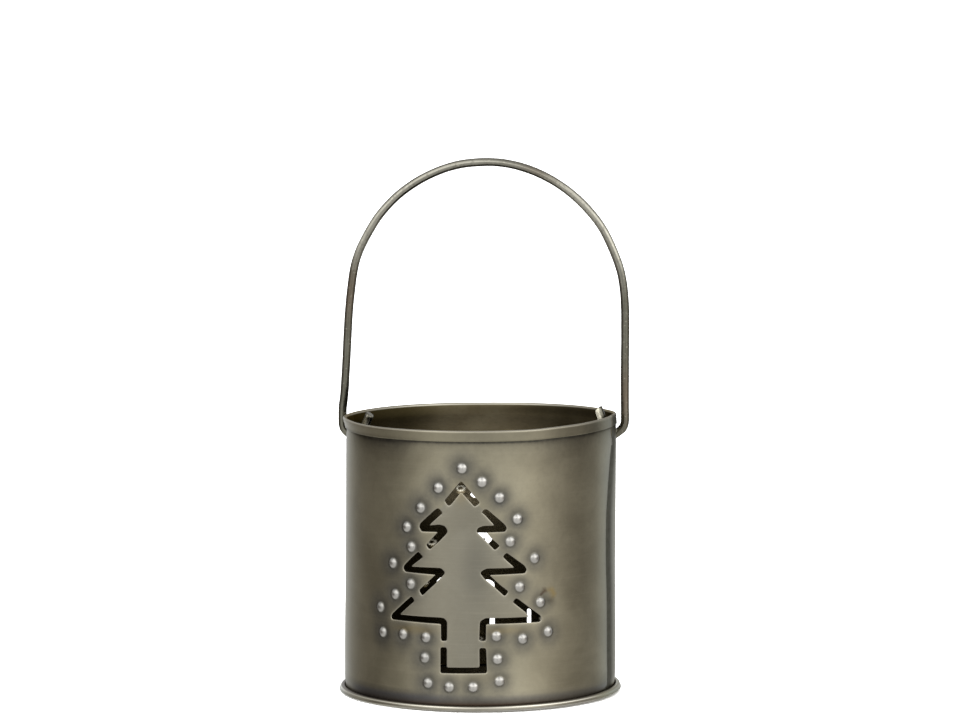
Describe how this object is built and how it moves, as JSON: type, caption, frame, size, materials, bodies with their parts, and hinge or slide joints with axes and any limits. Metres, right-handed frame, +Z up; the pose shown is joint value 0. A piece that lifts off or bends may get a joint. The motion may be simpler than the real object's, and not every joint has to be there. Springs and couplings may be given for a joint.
{
  "type": "pierced tealight bucket",
  "caption": "Open sheet-metal windlight bucket for a tealight, pierced with a fir-tree outline and pressed dots, with a rolled base bead and a swinging wire bail handle.",
  "frame": {"origin": "on the axis of the drum, in the plane the bucket stands on", "axes": "+Z up along the drum's axis, -Y out of the front tree, X across it towards the seam side, within about a degree of the bail's pivot line"},
  "size_m": [0.0983, 0.0936, 0.1779],
  "materials": {
    "patina_sheet": "satin antique pewter patina on thin sheet, polished on the pressed dots",
    "patina_base": "satin antique pewter patina, brighter along the rolled bead",
    "bail_wire": "dull olive-grey patina on drawn wire"
  },
  "bodies": {
    "pot": {"body_shell": "patina_sheet", "base_pan": "patina_base"},
    "bail": {"bail_handle": "bail_wire"}
  },
  "joints": [
    {"name": "bail_swing", "type": "hinge", "parent": "pot", "child": "bail", "pos_m": [0, 0.005, 0.0851], "axis": [0.9998, 0, 0.0202], "range_deg": [-150, 135]}
  ]
}
